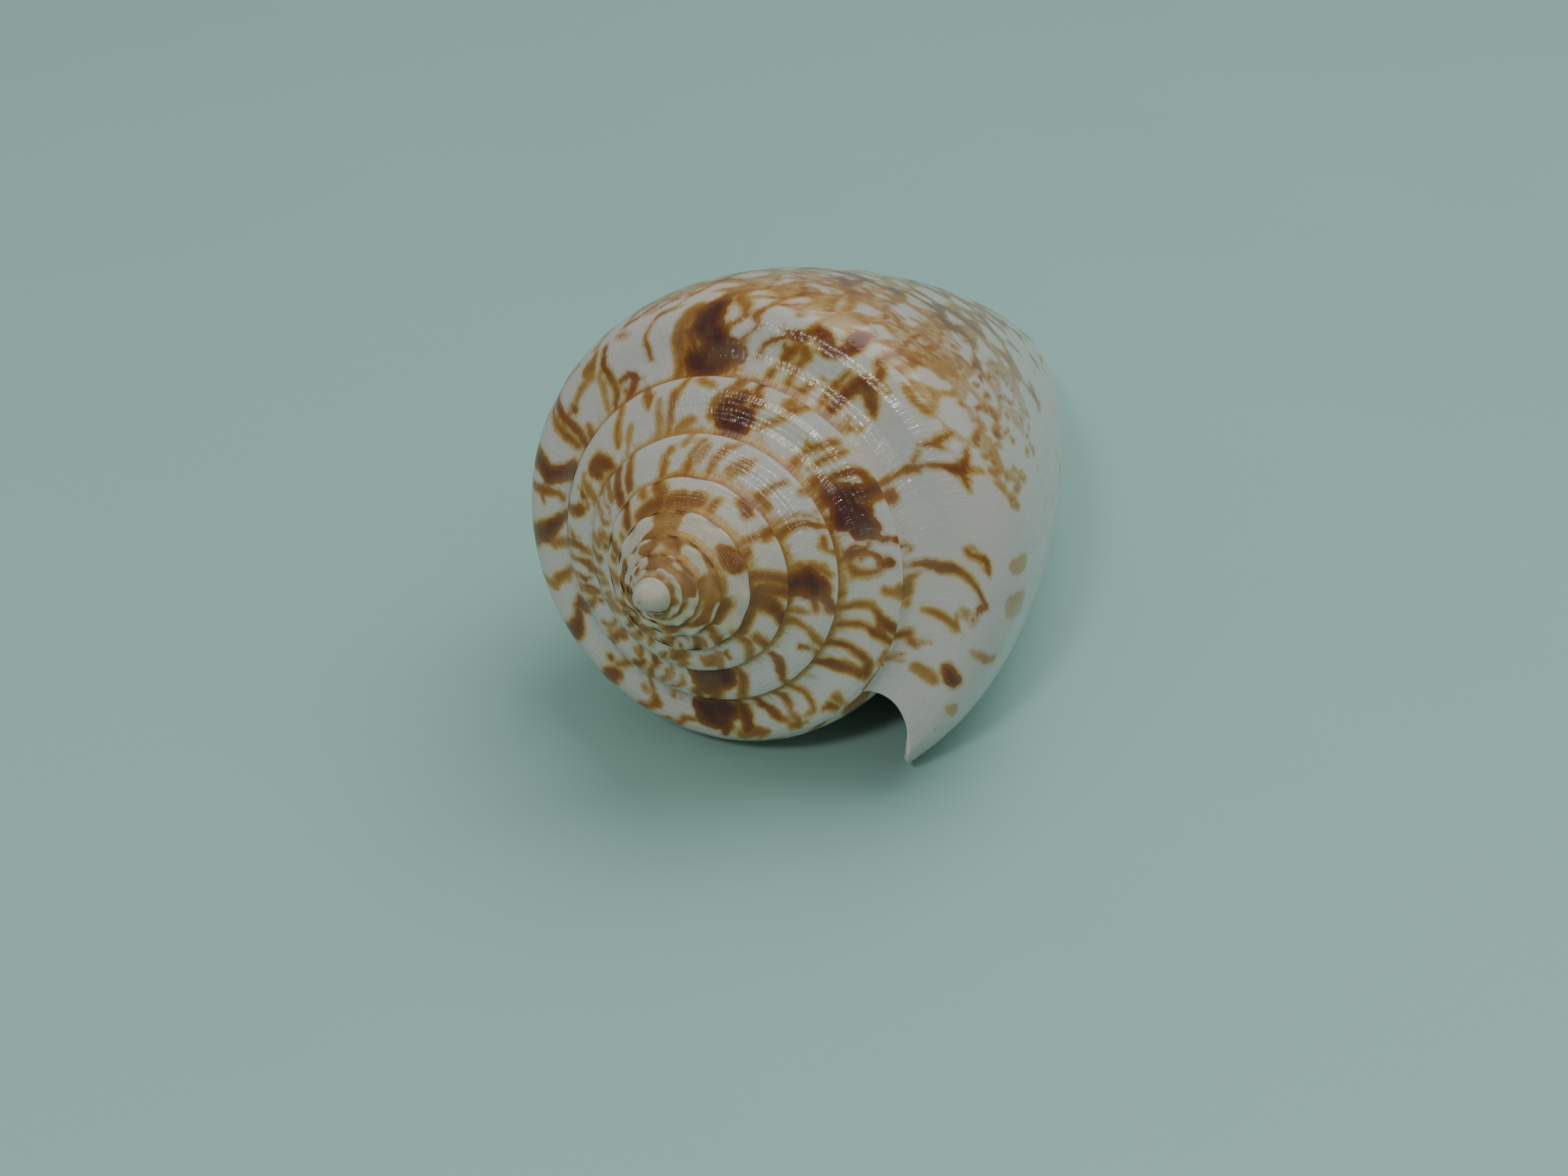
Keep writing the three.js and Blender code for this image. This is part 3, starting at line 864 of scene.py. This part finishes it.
def add_spire(skin):
    # First and last turn, mesh rows and columns, and marks of each whorl
    plans = [
        (7, LAST_START, 350, 19, SECOND_WHORL_MARKS + flecks(FLECK_SEED, 18)),
        (6, 7, 300, 15, THIRD_WHORL_MARKS + flecks(FLECK_SEED + 1, 18)),
        (5, 6, 240, 12, FOURTH_WHORL_MARKS + flecks(FLECK_SEED + 2, 12)),
        (4, 5, 200, 11, []),
        (3, 4, 170, 10, []),
        (2, 3, 140, 9, []),
        (1, 2, 110, 9, []),
    ]
    for first, last, rows, cols, marks in plans:
        turn = np.linspace(first, last, rows)[:, None].repeat(cols, axis=1)
        v = np.linspace(0, 1, cols)[None, :].repeat(rows, axis=0)
        points = relief(ramp_points(turn, v), ramp_relief(turn, v))
        ink = np.full(turn.shape, BARE_INK)
        shade = np.full(turn.shape, BARE_SHADE)
        sheet = {
            "degrees": (turn - first) * 360,
            "across": v,
            "turn": turn,
            "radius": np.hypot(points[..., 0], points[..., 2]),
        }
        paint(ink, shade, sheet, grown_marks(marks, False))
        if not marks:
            coil = (turn - 1) / 4
            checker = wander(60, 2, coil, v, CHECKER_SEED) + amber_sectors(turn - first)
            ink = 1.3 * checker - 0.28
            shade = 0.32 + 0.14 * wander(44, 2, coil, v, CHECKER_SEED + 1)
        add_suture(ink, shade, turn, v)
        skin.grid(points, turn=turn, across=v, ink=ink, shade=shade)


def add_tip(skin):
    rows, cols = 64, 9
    turn = np.linspace(0, 1, rows)[:, None]
    share = np.linspace(0.02, 1, cols)[None, :]
    rise = (1 - np.sqrt(1 - 0.96 * share ** 2)) / 0.8
    ring = radius(turn) * np.ones_like(share)
    points = place(ring * share, turn + 0 * share, depth(turn) * rise)
    skin.grid(points, turn=turn + 0 * share, across=share, shade=0.2)


def rounded_edge(outer, inner, forward):
    """A rounded strip from one edge line to another, bulging forwards."""
    middle = (outer + inner) / 2
    half = (outer - inner) / 2
    bulge = np.linalg.norm(half, axis=-1, keepdims=True) * forward * 0.55
    angles = np.linspace(0, math.pi, EDGE_STEPS)
    return np.stack([middle + half * math.cos(a) + bulge * math.sin(a) for a in angles], axis=1)


def unit(vectors):
    return vectors / np.maximum(np.linalg.norm(vectors, axis=-1, keepdims=True), 1e-9)


def add_aperture(skin, outer, v, t, end):
    # Each part's inside value sets its painted shade: pale at the lip and rim, darker orange-brown the
    # deeper it lies
    roof_t = ROOF_THICKNESS / BODY_LENGTH

    # Inner face of the outer wall
    rows = np.linspace(WHORLS - CAVITY_DEPTH, WHORLS, INNER_ROWS)[:, None]
    inner_t = np.concatenate([[roof_t], t[t > roof_t + 0.004][::2]])
    if inner_t[-1] < 1:
        inner_t = np.append(inner_t, 1)
    wall_face = inner_side_points(rows, inner_t[None, :])
    deep = WHORLS - rows + 0 * inner_t[None, :]
    skin.grid(wall_face, flip=True, turn=rows, across=1 + SIDE_SPAN * inner_t[None, :], inside=1 + deep)

    # Roof under the ramp
    roof_turn = rows - end[None, :] * smoothstep(WHORLS - 0.1, WHORLS, rows)
    roof = ramp_points(roof_turn, v[None, :], thinned(ROOF_THICKNESS, rows))
    roof_outer = inner_side_points(roof_turn[:, -1], roof_t * thinned(1, rows[:, 0]))
    slide = smoothstep(0.6, 1, v)[None, :, None]
    roof = roof + slide * (roof_outer[:, None, :] - roof[:, -1:, :])
    skin.grid(roof, flip=True, turn=roof_turn, across=v[None, :], inside=1.2 + WHORLS - roof_turn)

    # Edge of the lip, along the ramp and down the side
    lip = outer[-1]
    ahead = unit(outer[-1] - outer[-4])
    inner_lip = np.concatenate([
        roof[-1],
        inner_side_points(np.full(len(t) - 1, float(WHORLS)), np.maximum(t[1:], roof_t * LIP_EDGE)),
    ])
    edge = rounded_edge(lip, inner_lip, ahead)
    edge_across = np.concatenate([v, 1 + SIDE_SPAN * t[1:]])[:, None]
    skin.grid(edge, flip=True, turn=WHORLS, across=edge_across, inside=0.35)

    # Rim at the anterior end
    rim = outer[:, -1]
    rim_turn = np.linspace(LAST_START, WHORLS, len(rim))
    inner_rim = inner_side_points(rim_turn, np.ones(len(rim)))
    front = rounded_edge(rim, inner_rim, unit(outer[:, -1] - outer[:, -3]))
    skin.grid(front, turn=rim_turn[:, None], across=1 + SIDE_SPAN, inside=0.6)

    # Older whorl inside the aperture, running down into the columella
    older = np.linspace(WHORLS - 1 - CAVITY_DEPTH, LAST_START, INNER_ROWS)[:, None]
    top = depth(older) + ROOF_THICKNESS * smoothstep(0, 0.05, LAST_START - older)
    share = np.linspace(0, 1, 75)[None, :]
    y = lerp(top, COLUMELLA_END, 1 - (1 - share) ** 1.15)
    closing = columella_closing(y)
    lag = side_lag(np.clip((y - depth(older)) / side_length(older), 0, 1))
    core = place(parietal(older, y) * closing, older + lag, y)
    skin.grid(core, turn=older, across=1 + SIDE_SPAN * share, inside=0.8 + 1.2 * (LAST_START - older))

    # Columella past the rim on the open side
    past = np.linspace(LAST_START, WHORLS - CAVITY_DEPTH + 0.02, 42)[:, None]
    start = depth(past) + side_length(past) - 0.4
    y = lerp(start, COLUMELLA_END, np.linspace(0, 1, 16)[None, :])
    closing = columella_closing(y)
    stem = place((columella(y) + CALLUS) * closing, past + side_lag(1.0), y)
    skin.grid(stem, turn=past, across=1 + SIDE_SPAN, inside=0.8)

    # Deep end of the hollow
    last = WHORLS - CAVITY_DEPTH
    far_outer = inner_side_points(np.full(len(inner_t), last), inner_t)
    far_y = depth(last) + inner_t * side_length(last)
    far_inner = place(np.minimum(parietal(last - 1, far_y), np.hypot(far_outer[:, 0], far_outer[:, 2])),
                      last + side_lag(inner_t), far_y)
    back = np.stack([lerp(far_outer, far_inner, k) for k in np.linspace(0, 1, 5)], axis=1)
    skin.grid(back, flip=True, turn=last, across=2, inside=2)


# Materials

class Graph:
    def __init__(self, name):
        self.material = bpy.data.materials.new(name)
        self.material.use_nodes = True
        self.nodes = self.material.node_tree.nodes
        self.links = self.material.node_tree.links
        self.shader = self.nodes["Principled BSDF"]

    def feed(self, socket, value):
        if isinstance(value, bpy.types.NodeSocket):
            self.links.new(value, socket)
        else:
            socket.default_value = value

    def give(self, name, value):
        self.feed(self.shader.inputs[name], value)

    def node(self, kind, **values):
        node = self.nodes.new("ShaderNode" + kind)
        for name, value in values.items():
            setattr(node, name, value)
        return node

    def fed(self, node, *values):
        for socket, value in zip(node.inputs, values):
            self.feed(socket, value)
        return node.outputs[0]

    def layer(self, name):
        return self.node("Attribute", attribute_name=name).outputs["Fac"]

    def math(self, operation, a, b=0.0):
        return self.fed(self.node("Math", operation=operation), a, b)

    def times(self, a, b):
        return self.math("MULTIPLY", a, b)

    def plus(self, a, b):
        return self.math("ADD", a, b)

    def speckle(self, vector, scale, detail, height):
        """Noise of a given height about zero."""
        return self.times(self.math("SUBTRACT", self.noise(vector, scale, detail), 0.5), height)

    def spread(self, value, low, high, to_low=0.0, to_high=1.0):
        node = self.node("MapRange", interpolation_type="SMOOTHSTEP")
        return self.fed(node, value, low, high, to_low, to_high)

    def object_place(self):
        return self.node("TexCoord").outputs["Object"]

    def combine(self, x, y):
        return self.fed(self.node("CombineXYZ"), x, y)

    def noise(self, vector, scale, detail):
        node = self.node("TexNoise")
        self.feed(node.inputs["Vector"], vector)
        node.inputs["Scale"].default_value = scale
        node.inputs["Detail"].default_value = detail
        return node.outputs["Fac"]

    def ramp(self, value, stops):
        node = self.node("ValToRGB")
        elements = node.color_ramp.elements
        while len(elements) < len(stops):
            elements.new(0.5)
        for element, (position, colour) in zip(elements, stops):
            element.position = position
            element.color = (*colour, 1)
        self.feed(node.inputs["Fac"], value)
        return node.outputs["Color"]

    def mix(self, share, a, b):
        node = self.node("Mix", data_type="RGBA")
        self.feed(node.inputs["Factor"], share)
        self.feed(node.inputs["A"], a if isinstance(a, bpy.types.NodeSocket) else (*a, 1))
        self.feed(node.inputs["B"], b if isinstance(b, bpy.types.NodeSocket) else (*b, 1))
        return node.outputs["Result"]

    def bump(self, height, distance, strength, normal=None):
        node = self.node("Bump")
        self.feed(node.inputs["Height"], height)
        node.inputs["Distance"].default_value = distance
        node.inputs["Strength"].default_value = strength
        if normal:
            self.links.new(normal, node.inputs["Normal"])
        return node.outputs["Normal"]


# Colours

WHITE = (0.53, 0.495, 0.465)
CREAM = (0.54, 0.45, 0.24)
HONEY = (0.40, 0.235, 0.04)
PIGMENT = [
    (0.0, (0.43, 0.27, 0.15)),
    (0.25, (0.35, 0.16, 0.018)),
    (0.5, (0.215, 0.068, 0.005)),
    (0.75, (0.14, 0.034, 0.005)),
    (1.0, (0.078, 0.016, 0.009)),
]
TIP_GROUND = (0.53, 0.52, 0.41)
BAND_GROUND = (0.46, 0.425, 0.395)
FLOOR_DEEP = (0.31, 0.535, 0.485)
FLOOR_PALE = (0.33, 0.555, 0.505)
# Painted shade inside the aperture, from pale cream at the lip to orange-brown deep in the hollow
INSIDE_PAINTED_SHADE = [
    (0.0, (0.80, 0.77, 0.72)),
    (0.35, (0.80, 0.70, 0.58)),
    (0.7, (0.72, 0.48, 0.28)),
    (1.0, (0.52, 0.26, 0.13)),
]


def shell_material():
    graph = Graph("glossy_shell")
    turn, across = graph.layer("turn"), graph.layer("across")
    ink, shade, inside = graph.layer("ink"), graph.layer("shade"), graph.layer("inside")
    where = graph.object_place()
    grown = graph.combine(graph.times(turn, 60.0), graph.times(across, 1.2))

    # Ragged edges of the pigment
    rough = graph.speckle(where, 900, 3, 0.42)
    streaky = graph.speckle(grown, 3.0, 2, 0.12)
    crumbled = graph.speckle(where, 2600, 2, 0.2)
    level = graph.plus(graph.plus(ink, rough), graph.plus(streaky, crumbled))
    strength = graph.spread(shade, 0.0, 0.4, 0.5, 1.0)
    patchy = graph.spread(graph.noise(where, 420, 3), 0.3, 0.62, 0.8, 1.0)
    mask = graph.times(graph.times(graph.spread(level, 0.0, 0.13), strength), patchy)

    # Marks darken towards their middle, the darkest ones over a longer way
    depth_reach = graph.spread(shade, 0.5, 0.9, 0.42, 0.85)
    core = graph.spread(level, -0.02, depth_reach, 0.42, 1.1)
    cloud = graph.speckle(where, 600, 3, 0.5)
    tone = graph.plus(graph.times(shade, core), graph.plus(cloud, 0.06))
    pigment = graph.ramp(tone, PIGMENT)

    # Pale ground: white, growing creamier towards the tip, with faint growth bands
    age = graph.spread(turn, 2.5, 7.2, 0.6, 0.0)
    ground = graph.mix(age, WHITE, CREAM)
    tip = graph.spread(turn, 1.0, 2.6, 1.0, 0.0)
    ground = graph.mix(tip, ground, TIP_GROUND)
    bands = graph.spread(graph.noise(grown, 1.6, 4), 0.35, 0.75, 0.0, 0.22)
    ground = graph.mix(bands, ground, BAND_GROUND)

    # Honey beside the sutures, cream and honey round the marks
    fringe = graph.spread(graph.noise(grown, 2.2, 3), 0.35, 0.68, 0.06, 0.4)
    fading = graph.spread(turn, 8.2, 8.7, 0.75, 0.1)
    seam = graph.times(graph.spread(across, 0.01, fringe, 1.0, 0.0), fading)
    ground = graph.mix(seam, ground, HONEY)
    cloudy = graph.noise(where, 260, 3)
    halo = graph.times(graph.spread(level, -0.5, 0.0), graph.spread(cloudy, 0.35, 0.7, 0.0, 0.8))
    ground = graph.mix(halo, ground, CREAM)
    border = graph.times(graph.spread(level, -0.2, 0.03), graph.spread(cloudy, 0.3, 0.6, 0.45, 0.85))
    ground = graph.mix(border, ground, HONEY)
    # Painted shade inside the aperture, darker and more orange-brown the deeper the part lies
    hollow = graph.ramp(graph.times(inside, 0.5), INSIDE_PAINTED_SHADE)
    ground = graph.mix(graph.spread(inside, 0.05, 0.5), ground, hollow)
    colour = graph.mix(mask, ground, pigment)
    graph.give("Base Color", colour)

    # Gloss, spiral threads and growth lines
    gloss = graph.spread(graph.noise(where, 1500, 2), 0.3, 0.7, 0.16, 0.28)
    graph.give("Roughness", gloss)
    wave = graph.math("SINE", graph.times(across, 2 * math.pi * THREADS))
    threads = graph.times(wave, graph.spread(across, 0.9, 1.02, 1.0, 0.12))
    drawn = graph.combine(graph.times(turn, 420.0), graph.times(across, 2.0))
    lines = graph.times(graph.noise(drawn, 1.0, 3), graph.spread(across, 0.9, 1.1, 1.0, 0.22))
    grains = graph.times(graph.noise(where, 3200, 2), graph.spread(across, 0.9, 1.1, 1.0, 0.1))
    normal = graph.bump(threads, 0.000008, 0.6)
    normal = graph.bump(lines, 0.00006, 0.7, normal)
    normal = graph.bump(grains, 0.00004, 0.7, normal)
    graph.give("Normal", normal)
    graph.give("IOR", 1.53)
    graph.give("Subsurface Weight", 0.12)
    graph.give("Subsurface Radius", (0.0012, 0.0008, 0.0005))
    graph.give("Subsurface Scale", 1.0)
    return graph.material


def floor_material():
    graph = Graph("pale_floor")
    where = graph.object_place()
    colour = graph.mix(graph.noise(where, 30, 3), FLOOR_DEEP, FLOOR_PALE)
    graph.give("Base Color", colour)
    graph.give("Roughness", 0.55)
    return graph.material


# The shell

def add_object(name, data):
    made = bpy.data.objects.new(name, data)
    bpy.context.scene.collection.objects.link(made)
    return made


def build_shell():
    skin = Skin()
    outer, v, t, end = add_last_whorl(skin)
    add_spire(skin)
    add_tip(skin)
    add_aperture(skin, outer, v, t, end)
    mesh = skin.mesh("cone_shell")
    mesh.materials.append(shell_material())
    return add_object("cone_shell", mesh)


shell = build_shell()
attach(shell, "root")
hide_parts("shell")


# Floor, light and camera

FLOOR_SIZE = 3.0
MIDDLE = (0.0, -0.01, 0.012)
WORLD_COLOUR = (0.86, 0.92, 0.91, 1)
WORLD_STRENGTH = 0.36
CAMERA_PLACE = (0.03896392, -0.10809392, 0.06608471)
CAMERA_TURN = (0.84628465, 0.49120422, 0.08877537, 0.18611727)
CAMERA_LENS = 47.3236
CAMERA_NEAR = 0.005

floor_mesh = bpy.data.meshes.new("floor")
half = FLOOR_SIZE / 2
corners = [(-half, -half, 0), (half, -half, 0), (half, half, 0), (-half, half, 0)]
floor_mesh.from_pydata(corners, [], [(0, 1, 2, 3)])
floor_mesh.materials.append(floor_material())
floor = add_object("floor", floor_mesh)


def area_light(name, location, size, power, colour):
    data = bpy.data.lights.new(name, "AREA")
    data.size = size
    data.energy = power
    data.color = colour
    lamp = add_object(name, data)
    lamp.location = location
    direction = np.array(MIDDLE) - np.array(location)
    lamp.rotation_euler = (
        math.atan2(math.hypot(direction[0], direction[1]), -direction[2]),
        0,
        math.atan2(direction[1], direction[0]) - math.pi / 2,
    )


area_light("top_light", (0.10, 0.16, 0.50), size=0.45, power=1.5, colour=(0.97, 1.0, 0.99))
area_light("front_light", (0.02, -0.345, 0.275), size=0.045, power=0.5, colour=(1.0, 0.99, 0.96))

world = bpy.data.worlds.new("soft_world")
world.use_nodes = True
world.node_tree.nodes["Background"].inputs["Color"].default_value = WORLD_COLOUR
world.node_tree.nodes["Background"].inputs["Strength"].default_value = WORLD_STRENGTH
bpy.context.scene.world = world

camera_data = bpy.data.cameras.new("camera")
camera_data.lens = CAMERA_LENS
camera_data.clip_start = CAMERA_NEAR
camera = add_object("camera", camera_data)
camera.location = CAMERA_PLACE
camera.rotation_mode = "QUATERNION"
camera.rotation_quaternion = CAMERA_TURN
bpy.context.scene.camera = camera
